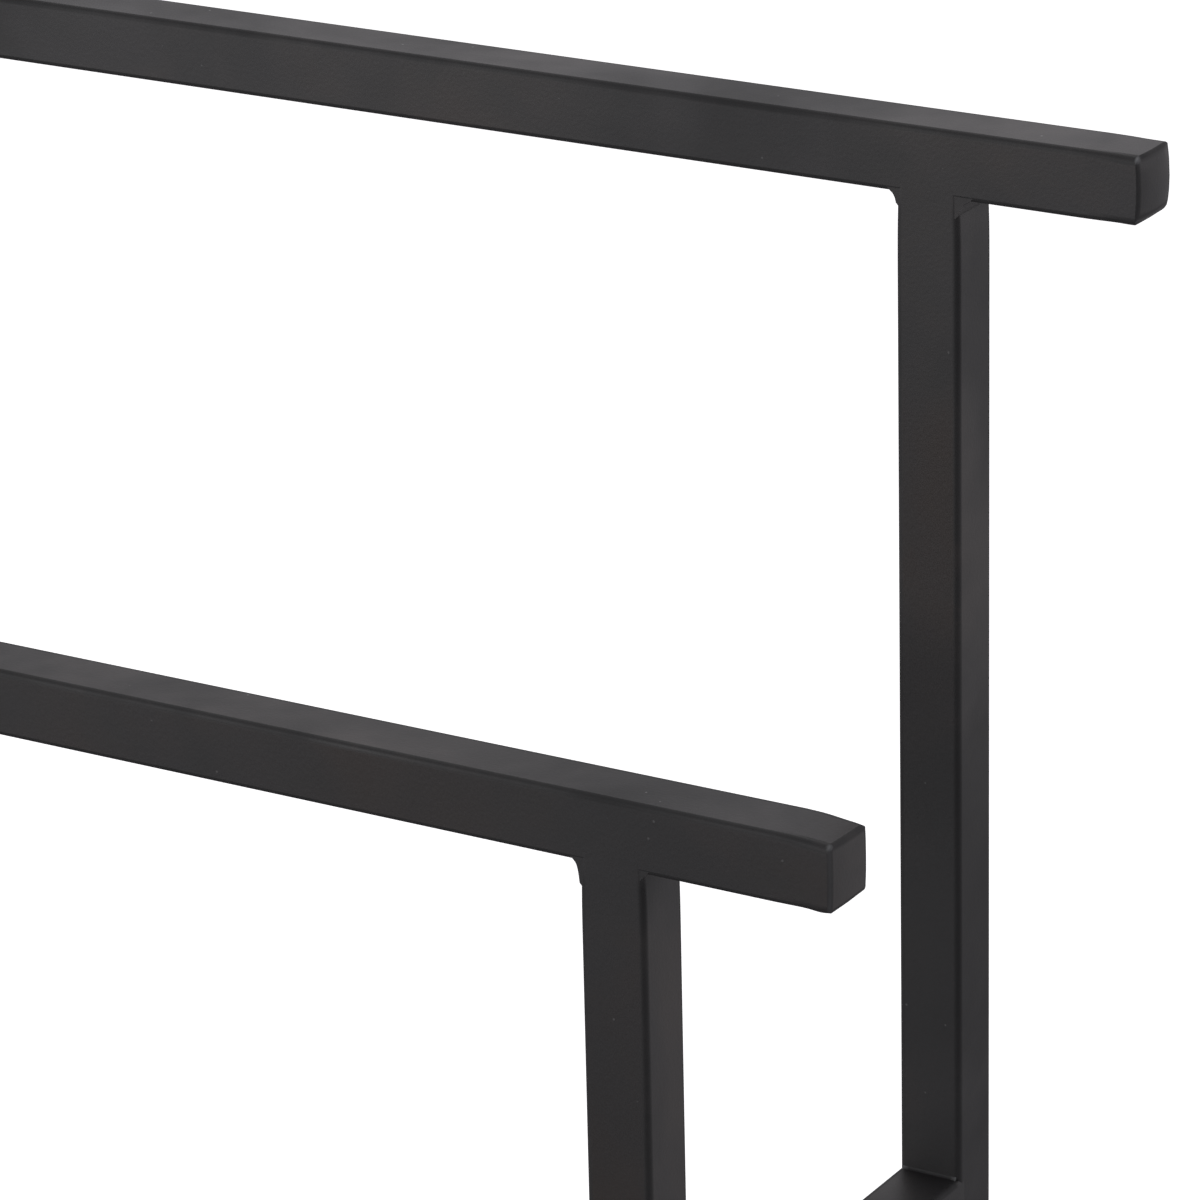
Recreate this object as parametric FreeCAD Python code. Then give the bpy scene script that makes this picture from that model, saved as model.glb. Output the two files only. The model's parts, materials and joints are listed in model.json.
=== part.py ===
import FreeCAD, Part
import os
from math import cos, pi, sin

# Folding luggage rack in square steel tube, standing on the floor.
# Millimetres. Origin at the middle of the footprint on the floor.
# +X runs along the rails, +Y to the back, +Z up.

# ---- driving dimensions -------------------------------------------------
tube = 20.0               # outside width of the square tube
wall = 1.2                # tube wall
corner = 1.6              # outside corner radius of the tube
inner_corner = 0.8        # inside corner radius of the tube

rail_length = 640.0       # upper, middle and front rails, end to end
rail_overhang = 57.0      # rail end to the outer face of its post
total_height = 740.0      # floor to the top of the upper rail
step_depth = 178.0        # upper rail to middle rail, front face to front face
step_height = 138.0       # top of the upper rail to top of the middle rail
side_bar_drop = 324.0     # top of the upper rail to top of the side bars

link_length = 312.0       # rear pivot to front pivot, deck and stays alike
link_spread = 352.0       # deck pivots to stay pivots, one above the other
pivot_reach = 28.0        # centre of a post to the pivots carried in front of it

ear_thickness = 5.0       # pivot ears welded on the posts and front legs
ear_radius = 12.0
ear_root = 14.0           # half height of an ear where it meets its post
pivot_radius = 4.0        # shank of every pivot bolt
running_clearance = 0.06  # radial, bolt in bush or in stay
open_clearance = 0.3      # radial, at the front pivots of the stays
slip_clearance = 0.1      # plugs and inserts in a tube
side_clearance = 0.3      # between faces that turn against each other

bush_wall = 1.0
flange_inset = 2.0        # bush flange inside the faces of the deck tube
flange_thickness = 1.0
head_radius = 7.5
head_height = 4.5
socket_radius = 2.6       # drive recess in a bolt head
socket_depth = 2.4
nut_flats = 13.0
nut_height = 7.0
bolt_spare = 2.0          # thread showing past the nut
thread_depth = 12.0       # deck bolt inside its plug
plug_length = 14.0

end_plate = 1.5           # plates that close the rail ends
end_plate_round = 1.1
glide_height = 5.0        # plastic feet
glide_stem = 18.0
glide_round = 1.5
cap_head = 2.0            # plastic caps in the stay ends
cap_stem = 3.4
stay_tail = 10.0          # pivot to the outer face of a stay's cap

strap_count = 4
strap_width = 50.0
strap_pitch = 100.0
strap_thickness = 1.8
strap_tail = 45.0         # end of a strap turned back and sewn to itself

catch_thickness = 3.0
catch_gap = 0.5           # washer gap between catch and post
catch_width = 14.0
catch_tip = 9.0           # arm beyond the stud
catch_drop = 62.0         # top of the middle rail to the catch pivot
stud_radius = 3.0
stud_clearance = 0.6
stud_length = 7.0
catch_head_radius = 6.5
catch_head_height = 2.5
catch_screw_grip = 10.0   # shank inside the post

# ---- places worked out from them ------------------------------------------
half = tube / 2
depth = step_depth + 2 * pivot_reach + link_length + tube
y_back = depth / 2 - half
y_middle = y_back - step_depth
y_rear_pivot = y_middle - pivot_reach
y_front_pivot = y_rear_pivot - link_length
y_front = y_front_pivot - pivot_reach

z_deck = total_height - side_bar_drop - half
z_stay = z_deck - link_spread
z_upper_rail = total_height - half
z_middle_rail = total_height - step_height - half
z_front_rail = z_deck

x_post = rail_length / 2 - rail_overhang - half
x_inner = x_post - half
x_ear = x_inner + ear_thickness
x_outer = x_post + half
x_deck = x_inner - flange_thickness - side_clearance
z_catch = z_middle_rail + half - catch_drop
bush_radius = pivot_radius + running_clearance + bush_wall
flange_radius = half - flange_inset
insert_width = tube - 2 * wall - 2 * slip_clearance

os.makedirs("parts", exist_ok=True)


# ---- shapes -----------------------------------------------------------------
def vec(x, y, z):
    return FreeCAD.Vector(x, y, z)


def block(x0, x1, y0, y1, z0, z1):
    return Part.makeBox(x1 - x0, y1 - y0, z1 - z0, vec(x0, y0, z0))


def square_bar(width, radius, length):
    """Square bar along +Z from the origin, with rounded long edges."""
    bar = block(-width / 2, width / 2, -width / 2, width / 2, 0, length)
    long_edges = [e for e in bar.Edges if abs(e.BoundBox.ZLength - length) < 1e-6]
    return bar.makeFillet(radius, long_edges)


def square_tube(length):
    hollow = square_bar(tube - 2 * wall, inner_corner, length)
    return square_bar(tube, corner, length).cut(hollow)


def along_x(shape, x, y, z):
    """Turn a shape made along +Z to run along +X, then place it."""
    turned = shape.copy()
    turned.rotate(vec(0, 0, 0), vec(0, 1, 0), 90)
    turned.translate(vec(x, y, z))
    return turned


def along_y(shape, x, y, z):
    turned = shape.copy()
    turned.rotate(vec(0, 0, 0), vec(1, 0, 0), -90)
    turned.translate(vec(x, y, z))
    return turned


def along_z(shape, x, y, z):
    moved = shape.copy()
    moved.translate(vec(x, y, z))
    return moved


def tube_x(x0, x1, y, z):
    return along_x(square_tube(x1 - x0), x0, y, z)


def tube_y(x, y0, y1, z):
    return along_y(square_tube(y1 - y0), x, y0, z)


def tube_z(x, y, z0, z1):
    return along_z(square_tube(z1 - z0), x, y, z0)


def rod_x(radius, x0, x1, y, z):
    return Part.makeCylinder(radius, x1 - x0, vec(x0, y, z), vec(1, 0, 0))


def mirror_x(shape):
    return shape.mirror(vec(0, 0, 0), vec(1, 0, 0))


def hexagon_x(flats, x0, x1, y, z):
    reach = flats / 2 / cos(pi / 6)
    points = [vec(x0, y + reach * cos(i * pi / 3), z + reach * sin(i * pi / 3)) for i in range(7)]
    return Part.Face(Part.makePolygon(points)).extrude(vec(x1 - x0, 0, 0))


def save(name, shapes):
    """Write one node: a single solid, or a group of separate ones."""
    solids = [solid for shape in shapes for solid in shape.Solids]
    body = solids[0] if len(solids) == 1 else Part.makeCompound(solids)
    for solid in solids:
        if not solid.isValid():
            raise ValueError("bad solid in " + name)
    body.exportStep("parts/" + name + ".step")


def save_pair(name, right_shape):
    """Write left_NAME and right_NAME from the right-hand shape."""
    save("right_" + name, [right_shape])
    save("left_" + name, [mirror_x(right_shape)])


# ---- rails and their end plates ---------------------------------------------
def rail(y, z):
    reach = rail_length / 2 - end_plate
    return tube_x(-reach, reach, y, z)


def rail_end_plate(y, z):
    plate = square_bar(tube, corner, end_plate)
    outer_edges = [e for e in plate.Edges if abs(e.BoundBox.ZMin - end_plate) < 1e-6]
    plate = plate.makeFillet(end_plate_round, outer_edges)
    return along_x(plate, rail_length / 2 - end_plate, y, z)


for rail_name, y, z in (
    ("upper_rail", y_back, z_upper_rail),
    ("middle_rail", y_middle, z_middle_rail),
    ("front_rail", y_front, z_front_rail),
):
    save(rail_name, [rail(y, z)])
    plate = rail_end_plate(y, z)
    save(rail_name + "_end_plates", [plate, mirror_x(plate)])


# ---- posts, front legs, side bars and stretchers ------------------------------
save_pair("back_post", tube_z(x_post, y_back, glide_height, z_upper_rail - half))
middle_post = tube_z(x_post, y_middle, glide_height, z_middle_rail - half)
screw_hole = rod_x(stud_radius + running_clearance, x_post, x_outer + 1, y_middle, z_catch)
save("right_middle_post", [middle_post])
save("left_middle_post", [mirror_x(middle_post.cut(screw_hole))])
save_pair("front_leg", tube_z(x_post, y_front, glide_height, z_front_rail - half))

for bar_name, z in (("upper_side_bar", z_deck), ("lower_side_bar", z_stay)):
    save_pair(bar_name, tube_y(x_post, y_middle + half, y_back - half, z))

for frame_name, y in (("back", y_back), ("middle", y_middle), ("front", y_front)):
    save(frame_name + "_stretcher", [tube_x(-x_inner, x_inner, y, z_stay)])


# ---- plastic feet ---------------------------------------------------------------
def glide(x, y):
    head = square_bar(tube, corner, glide_height)
    floor_edges = [e for e in head.Edges if abs(e.BoundBox.ZMax) < 1e-6]
    head = head.makeFillet(glide_round, floor_edges)
    stem = square_bar(insert_width, inner_corner, glide_stem)
    stem.translate(vec(0, 0, glide_height))
    return along_z(head.fuse(stem).removeSplitter(), x, y, 0)


for frame_name, y in (("back", y_back), ("middle", y_middle), ("front", y_front)):
    foot = glide(x_post, y)
    save(frame_name + "_feet", [foot, mirror_x(foot)])


# ---- pivot ears -------------------------------------------------------------------
def ear(face_y, pivot_y, z, hole_radius):
    """Plate standing edge-on on a post face, with a round end about its pivot."""
    outline = [(face_y, -ear_root), (pivot_y, -ear_radius), (pivot_y, ear_radius), (face_y, ear_root)]
    points = [vec(x_inner, py, z + pz) for py, pz in outline]
    web = Part.Face(Part.makePolygon(points + points[:1])).extrude(vec(ear_thickness, 0, 0))
    round_end = rod_x(ear_radius, x_inner, x_ear, pivot_y, z)
    hole = rod_x(hole_radius, x_inner - 1, x_ear + 1, pivot_y, z)
    return web.fuse(round_end).removeSplitter().cut(hole)


bushed_hole = bush_radius + running_clearance
plain_hole = pivot_radius + running_clearance
rear_face = y_middle - half
front_face = y_front + half

save_pair("rear_deck_ear", ear(rear_face, y_rear_pivot, z_deck, bushed_hole))
save_pair("rear_stay_ear", ear(rear_face, y_rear_pivot, z_stay, plain_hole))
for ear_name, z, hole in (("front_deck_ears", z_deck, bushed_hole), ("front_stay_ears", z_stay, plain_hole)):
    front_ear = ear(front_face, y_front_pivot, z, hole)
    save(ear_name, [front_ear, mirror_x(front_ear)])


# ---- deck pivots: bush in the ear, bolt into a plug in the deck tube -----------------
def bush(y):
    sleeve = rod_x(bush_radius, x_inner, x_ear, y, z_deck)
    flange = rod_x(flange_radius, x_inner - flange_thickness, x_inner, y, z_deck)
    bore = rod_x(pivot_radius + running_clearance, x_inner - 2 * flange_thickness, x_ear + 1, y, z_deck)
    return sleeve.fuse(flange).cut(bore)


def bolt_head(y, z, x0):
    """Round head with a drive recess, standing outwards from x0."""
    head = rod_x(head_radius, x0, x0 + head_height, y, z)
    rim = [e for e in head.Edges if abs(e.BoundBox.XMin - x0 - head_height) < 1e-6]
    head = head.makeFillet(head_height / 3, rim)
    top = x0 + head_height
    return head.cut(hexagon_x(2 * socket_radius, top - socket_depth, top + 1, y, z))


def deck_bolt(y):
    shank = rod_x(pivot_radius, x_deck - thread_depth, x_ear + side_clearance, y, z_deck)
    return shank.fuse(bolt_head(y, z_deck, x_ear + side_clearance))


def deck_plug(y):
    plug = square_bar(insert_width, inner_corner, plug_length)
    hole = Part.makeCylinder(pivot_radius + running_clearance, plug_length)
    return along_x(plug.cut(hole), x_deck - plug_length, y, z_deck)


for end_name, y in (("rear", y_rear_pivot), ("front", y_front_pivot)):
    for piece_name, piece in (("bushes", bush(y)), ("bolts", deck_bolt(y)), ("plugs", deck_plug(y))):
        save(end_name + "_deck_" + piece_name, [piece, mirror_x(piece)])


# ---- deck frame -----------------------------------------------------------------------
save("deck_rear_tube", [tube_x(-x_deck, x_deck, y_rear_pivot, z_deck)])
save("deck_front_tube", [tube_x(-x_deck, x_deck, y_front_pivot, z_deck)])
save_pair("deck_side_tube", tube_y(x_deck - half, y_front_pivot + half, y_rear_pivot - half, z_deck))


# ---- webbing straps, each one piece wrapped round both deck tubes ------------------------
def strap(x):
    x0 = x - strap_width / 2
    x1 = x + strap_width / 2
    out = half + strap_thickness
    top = z_deck + half
    band = block(x0, x1, y_front_pivot - out, y_rear_pivot + out, top, top + strap_thickness)
    for pivot_y, inward in ((y_front_pivot, 1), (y_rear_pivot, -1)):
        outer_y = sorted((pivot_y - inward * out, pivot_y - inward * half))
        inner_y = sorted((pivot_y + inward * half, pivot_y + inward * out))
        tail_y = sorted((pivot_y + inward * half, pivot_y + inward * (half + strap_tail)))
        under = z_deck - out
        band = band.fuse(block(x0, x1, *outer_y, under, top))
        band = band.fuse(block(x0, x1, pivot_y - out, pivot_y + out, under, z_deck - half))
        band = band.fuse(block(x0, x1, *inner_y, under, top))
        band = band.fuse(block(x0, x1, *tail_y, top - strap_thickness, top))
    return band.removeSplitter()


for number in range(strap_count):
    x = (number - (strap_count - 1) / 2) * strap_pitch
    save("strap_" + str(number + 1), [strap(x)])


# ---- stays: the lower links, free to turn on through bolts ----------------------------------
x_stay = x_deck - half
stay_inner = x_stay - half
washer_outer = stay_inner - side_clearance
nut_outer = washer_outer - flange_thickness

stay_tube_end = stay_tail - cap_head
stay = tube_y(x_stay, y_front_pivot - stay_tube_end, y_rear_pivot + stay_tube_end, z_stay)
stay = stay.cut(rod_x(plain_hole, stay_inner - 1, x_deck + 1, y_rear_pivot, z_stay))
stay = stay.cut(rod_x(pivot_radius + open_clearance, stay_inner - 1, x_deck + 1, y_front_pivot, z_stay))
save_pair("stay", stay)


def stay_cap(tube_end, outward):
    """Cap on the tube end at y = tube_end, with its head on the outward side."""
    head = square_bar(tube, corner, cap_head)
    stem = square_bar(insert_width, inner_corner, cap_stem)
    head_y = tube_end if outward > 0 else tube_end - cap_head
    stem_y = tube_end - cap_stem if outward > 0 else tube_end
    return along_y(head, x_stay, head_y, z_stay).fuse(along_y(stem, x_stay, stem_y, z_stay))


right_caps = [stay_cap(y_rear_pivot + stay_tube_end, 1), stay_cap(y_front_pivot - stay_tube_end, -1)]
save("right_stay_caps", right_caps)
save("left_stay_caps", [mirror_x(cap) for cap in right_caps])


def stay_bolt(y):
    shank = rod_x(pivot_radius, nut_outer - nut_height - bolt_spare, x_ear, y, z_stay)
    return shank.fuse(bolt_head(y, z_stay, x_ear))


def stay_washer(y, x0):
    ring = rod_x(flange_radius, x0, x0 + flange_thickness, y, z_stay)
    return ring.cut(rod_x(plain_hole, x0 - 1, x0 + flange_thickness + 1, y, z_stay))


def stay_nut(y):
    nut = hexagon_x(nut_flats, nut_outer - nut_height, nut_outer, y, z_stay)
    return nut.cut(rod_x(plain_hole, nut_outer - nut_height - 1, nut_outer + 1, y, z_stay))


for end_name, y in (("rear", y_rear_pivot), ("front", y_front_pivot)):
    bolt = stay_bolt(y)
    washers = [stay_washer(y, x_inner - flange_thickness), stay_washer(y, nut_outer)]
    nut = stay_nut(y)
    save(end_name + "_stay_bolts", [bolt, mirror_x(bolt)])
    save(end_name + "_stay_washers", washers + [mirror_x(washer) for washer in washers])
    save(end_name + "_stay_nuts", [nut, mirror_x(nut)])


# ---- catch that holds the folded frame shut, on the outer face of the left middle post --------
catch_reach = y_middle - y_front - link_length
catch_x0 = x_outer + catch_gap
catch_x1 = catch_x0 + catch_thickness


def catch_hook():
    """Hook hanging from its pivot, made on the right-hand side and then mirrored."""
    arm = block(
        catch_x0, catch_x1,
        y_middle - catch_width / 2, y_middle + catch_width / 2,
        z_catch - catch_reach - catch_tip, z_catch,
    )
    arm = arm.fuse(rod_x(catch_width / 2, catch_x0, catch_x1, y_middle, z_catch))
    notch_radius = stud_radius + stud_clearance
    notch_z = z_catch - catch_reach
    notch = rod_x(notch_radius, catch_x0 - 1, catch_x1 + 1, y_middle, notch_z)
    notch = notch.fuse(block(
        catch_x0 - 1, catch_x1 + 1,
        y_middle, y_middle + catch_width,
        notch_z - notch_radius, notch_z + notch_radius,
    ))
    pivot_hole = rod_x(stud_radius + running_clearance, catch_x0 - 1, catch_x1 + 1, y_middle, z_catch)
    return arm.removeSplitter().cut(notch).cut(pivot_hole)


def catch_screw():
    washer = rod_x(catch_head_radius, x_outer, catch_x0 - side_clearance / 2, y_middle, z_catch)
    shank = rod_x(stud_radius, x_outer - catch_screw_grip, catch_x1 + side_clearance, y_middle, z_catch)
    head_x = catch_x1 + side_clearance
    head = rod_x(catch_head_radius, head_x, head_x + catch_head_height, y_middle, z_catch)
    return washer.fuse(shank).fuse(head)


def catch_stud():
    z = z_catch - link_length
    return rod_x(stud_radius, x_outer, x_outer + stud_length, y_front, z)


for piece_name, piece in (("hook", catch_hook()), ("screw", catch_screw()), ("stud", catch_stud())):
    save("catch_" + piece_name, [mirror_x(piece)])
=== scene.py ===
import json
import math
import random

import bmesh
import bpy
from mathutils import Matrix, Vector, noise


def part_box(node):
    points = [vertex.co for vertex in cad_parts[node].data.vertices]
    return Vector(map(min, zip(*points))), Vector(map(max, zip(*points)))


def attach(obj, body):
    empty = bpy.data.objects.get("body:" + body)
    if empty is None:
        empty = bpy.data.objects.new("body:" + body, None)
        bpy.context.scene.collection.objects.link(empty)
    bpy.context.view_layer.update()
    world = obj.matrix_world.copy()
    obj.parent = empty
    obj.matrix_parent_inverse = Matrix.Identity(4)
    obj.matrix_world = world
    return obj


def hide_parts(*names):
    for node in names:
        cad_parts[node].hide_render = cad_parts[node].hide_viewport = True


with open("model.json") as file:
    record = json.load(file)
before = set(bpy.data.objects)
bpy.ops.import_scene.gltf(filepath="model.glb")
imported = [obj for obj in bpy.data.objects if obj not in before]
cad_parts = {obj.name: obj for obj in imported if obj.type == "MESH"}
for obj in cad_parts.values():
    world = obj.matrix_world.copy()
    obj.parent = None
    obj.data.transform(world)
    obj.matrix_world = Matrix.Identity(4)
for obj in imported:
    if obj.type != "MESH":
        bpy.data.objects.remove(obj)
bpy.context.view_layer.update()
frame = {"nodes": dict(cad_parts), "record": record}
random.seed(7)
noise.seed_set(7)
bodyOf = {node: body for body, nodes in frame["record"]["behaviour"]["bodies"].items() for node in nodes}
mm = 0.001

print("stage: node groups and materials")


def newGroup(name, inputs, outputs):
    group = bpy.data.node_groups.new(name, "ShaderNodeTree")
    for socketName, kind, value in inputs:
        socket = group.interface.new_socket(socketName, in_out="INPUT", socket_type=kind)
        if value is not None:
            socket.default_value = value
    for socketName, kind in outputs:
        group.interface.new_socket(socketName, in_out="OUTPUT", socket_type=kind)
    return group, group.nodes.new("NodeGroupInput"), group.nodes.new("NodeGroupOutput")


def addNode(tree, kind, values=None, settings=None):
    node = tree.nodes.new(kind)
    for key, value in (settings or {}).items():
        setattr(node, key, value)
    for socket, value in (values or {}).items():
        node.inputs[socket].default_value = value
    return node


def mathNode(tree, operation, first, second=None, clamp=False):
    node = tree.nodes.new("ShaderNodeMath")
    node.operation = operation
    node.use_clamp = clamp
    for index, value in enumerate((first, second)):
        if value is None:
            continue
        if isinstance(value, (int, float)):
            node.inputs[index].default_value = value
        else:
            tree.links.new(value, node.inputs[index])
    return node.outputs[0]


def rangeNode(tree, value, low, high, toLow, toHigh):
    node = tree.nodes.new("ShaderNodeMapRange")
    tree.links.new(value, node.inputs["Value"])
    for socket, number in zip(("From Min", "From Max", "To Min", "To Max"), (low, high, toLow, toHigh)):
        node.inputs[socket].default_value = number
    return node.outputs["Result"]


def mixColours(tree, factor, first, second):
    node = tree.nodes.new("ShaderNodeMix")
    node.data_type = "RGBA"
    tree.links.new(factor, node.inputs["Factor"])
    for socket, value in ((node.inputs[6], first), (node.inputs[7], second)):
        if isinstance(value, tuple):
            socket.default_value = (*value, 1.0)
        else:
            tree.links.new(value, socket)
    return node.outputs[2]


# nibShare: cells whose random tint is above this carry a nib; nibRim: its core and its foot, in cells
skinDetail = {
    "peel": {"Detail": 3.0, "Roughness": 0.55}, "mottle": {"Detail": 4.0, "Roughness": 0.6, "Distortion": 0.4},
    "nibRim": (0.03, 0.07), "nibShare": 0.72, "nibHeight": 0.8,
}


# fine skin of a sprayed or moulded surface: peel, slow mottle and a few nibs
def makeSkinGroup():
    group, entry, leave = newGroup(
        "skinGrain",
        [("Vector", "NodeSocketVector", None), ("Peel Scale", "NodeSocketFloat", 900.0),
         ("Mottle Scale", "NodeSocketFloat", 22.0), ("Nib Scale", "NodeSocketFloat", 160.0)],
        [("Height", "NodeSocketFloat"), ("Mottle", "NodeSocketFloat"), ("Nibs", "NodeSocketFloat")],
    )
    link = group.links.new
    peel = addNode(group, "ShaderNodeTexNoise", skinDetail["peel"])
    link(entry.outputs["Vector"], peel.inputs["Vector"])
    link(entry.outputs["Peel Scale"], peel.inputs["Scale"])
    mottle = addNode(group, "ShaderNodeTexNoise", skinDetail["mottle"])
    link(entry.outputs["Vector"], mottle.inputs["Vector"])
    link(entry.outputs["Mottle Scale"], mottle.inputs["Scale"])
    cells = addNode(group, "ShaderNodeTexVoronoi")
    link(entry.outputs["Vector"], cells.inputs["Vector"])
    link(entry.outputs["Nib Scale"], cells.inputs["Scale"])
    near = rangeNode(group, cells.outputs["Distance"], *skinDetail["nibRim"], 1.0, 0.0)
    tint = group.nodes.new("ShaderNodeSeparateColor")
    link(cells.outputs["Color"], tint.inputs["Color"])
    chosen = mathNode(group, "GREATER_THAN", tint.outputs["Red"], skinDetail["nibShare"])
    nibs = mathNode(group, "MULTIPLY", near, chosen)
    raised = mathNode(group, "MULTIPLY", nibs, skinDetail["nibHeight"])
    link(mathNode(group, "ADD", peel.outputs["Fac"], raised), leave.inputs["Height"])
    link(mottle.outputs["Fac"], leave.inputs["Mottle"])
    link(nibs, leave.inputs["Nibs"])
    return group


# ramp: edge values where the painted shade on corners starts and is full; soft: width of a rubbed patch's border
shadeAndWearDetail = {"patches": {"Detail": 5.0, "Roughness": 0.65}, "ramp": (0.1, 0.9), "soft": 0.08}


# painted shade on corners from the edge attribute, and rubbed wear there, broken up by noise
def makeEdgeGroup():
    group, entry, leave = newGroup(
        "edgeWear",
        [("Vector", "NodeSocketVector", None), ("Edge", "NodeSocketFloat", 0.0),
         ("Break Scale", "NodeSocketFloat", 60.0), ("Threshold", "NodeSocketFloat", 0.6)],
        [("Thin", "NodeSocketFloat"), ("Rubbed", "NodeSocketFloat")],
    )
    link = group.links.new
    patches = addNode(group, "ShaderNodeTexNoise", shadeAndWearDetail["patches"])
    link(entry.outputs["Vector"], patches.inputs["Vector"])
    link(entry.outputs["Break Scale"], patches.inputs["Scale"])
    thin = rangeNode(group, entry.outputs["Edge"], *shadeAndWearDetail["ramp"], 0.0, 1.0)
    over = mathNode(group, "SUBTRACT", patches.outputs["Fac"], entry.outputs["Threshold"])
    spots = rangeNode(group, over, 0.0, shadeAndWearDetail["soft"], 0.0, 1.0)
    link(thin, leave.inputs["Thin"])
    link(mathNode(group, "MULTIPLY", thin, spots), leave.inputs["Rubbed"])
    return group


# repeat: picks in one turn of the twill, which steps on by one pick from warp end to warp end
weaveDetail = {"repeat": 4.0, "crown": 0.6}


# two-over-two webbing weave, from a strap's own metre-sized UV
def makeWeaveGroup():
    group, entry, leave = newGroup(
        "webbingWeave",
        [("Vector", "NodeSocketVector", None), ("Ends", "NodeSocketFloat", 560.0),
         ("Picks", "NodeSocketFloat", 420.0)],
        [("Height", "NodeSocketFloat"), ("Yarn", "NodeSocketFloat")],
    )
    link = group.links.new
    parts = group.nodes.new("ShaderNodeSeparateXYZ")
    link(entry.outputs["Vector"], parts.inputs["Vector"])
    across = mathNode(group, "MULTIPLY", parts.outputs["X"], entry.outputs["Ends"])
    along = mathNode(group, "MULTIPLY", parts.outputs["Y"], entry.outputs["Picks"])
    column = mathNode(group, "FLOOR", across)
    step = 1 / weaveDetail["repeat"]
    shift = mathNode(group, "MULTIPLY", mathNode(group, "MODULO", column, weaveDetail["repeat"]), step)
    inColumn = mathNode(group, "SUBTRACT", mathNode(group, "FRACT", across), 0.5)
    crown = rangeNode(group, mathNode(group, "ABSOLUTE", inColumn), 0.0, 0.5, 1.0, 0.0)
    phase = mathNode(group, "FRACT", mathNode(group, "ADD", mathNode(group, "MULTIPLY", along, step), shift))
    lift = mathNode(group, "SINE", mathNode(group, "MULTIPLY", phase, math.pi))
    height = mathNode(group, "MULTIPLY", mathNode(group, "POWER", crown, weaveDetail["crown"]), lift)
    link(height, leave.inputs["Height"])
    link(mathNode(group, "MULTIPLY", crown, lift), leave.inputs["Yarn"])
    return group


skinGrain = makeSkinGroup()
edgeWear = makeEdgeGroup()
webbingWeave = makeWeaveGroup()


def startMaterial(name, constants):
    material = bpy.data.materials.new(name)
    material.use_nodes = True
    tree = material.node_tree
    shader = next(n for n in tree.nodes if n.type == "BSDF_PRINCIPLED")
    for socket, value in constants.items():
        shader.inputs[socket].default_value = value
    return material, tree, shader


def placeGroup(tree, group, vector, values):
    node = tree.nodes.new("ShaderNodeGroup")
    node.node_tree = group
    tree.links.new(vector, node.inputs["Vector"])
    for socket, value in values.items():
        node.inputs[socket].default_value = value
    return node


def readAttribute(tree, name):
    node = tree.nodes.new("ShaderNodeAttribute")
    node.attribute_name = name
    return node.outputs["Fac"]


def addBump(tree, shader, height, strength, distance):
    bump = addNode(tree, "ShaderNodeBump", {"Strength": strength, "Distance": distance})
    tree.links.new(height, bump.inputs["Height"])
    tree.links.new(bump.outputs["Normal"], shader.inputs["Normal"])


# colours: the coat, its warm mottling, darker smudges, painted shade on corners, nibs and a painted highlight on
# ground corners
# each range is the span of a noise over which a change comes in; dustFacing: how far up a face looks
powderCoat = {
    "colour": (0.0136, 0.0126, 0.0136), "mottled": (0.0235, 0.0180, 0.0158), "smudge": (0.0070, 0.0068, 0.0076),
    "thin": (0.0050, 0.0050, 0.0056), "nib": (0.16, 0.16, 0.16), "bare": (0.26, 0.27, 0.28),
    "rough": (0.38, 0.50), "smudgeRough": 0.10, "edgeRough": 0.20, "bump": 0.32, "depth": 0.00012,
    "skin": {"Peel Scale": 900.0, "Mottle Scale": 14.0, "Nib Scale": 150.0}, "cloud": {"Mottle Scale": 9.0},
    "wear": {"Break Scale": 90.0, "Threshold": 0.50}, "patchy": (0.92, 0.55),
    "mottleRange": (0.42, 0.66), "cloudRange": (0.46, 0.62), "cloudMost": 0.85, "roughRange": (0.3, 0.7),
    "dustFacing": (0.2, 0.9), "dustOnSides": 0.30, "bareMost": 0.85,
}


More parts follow.
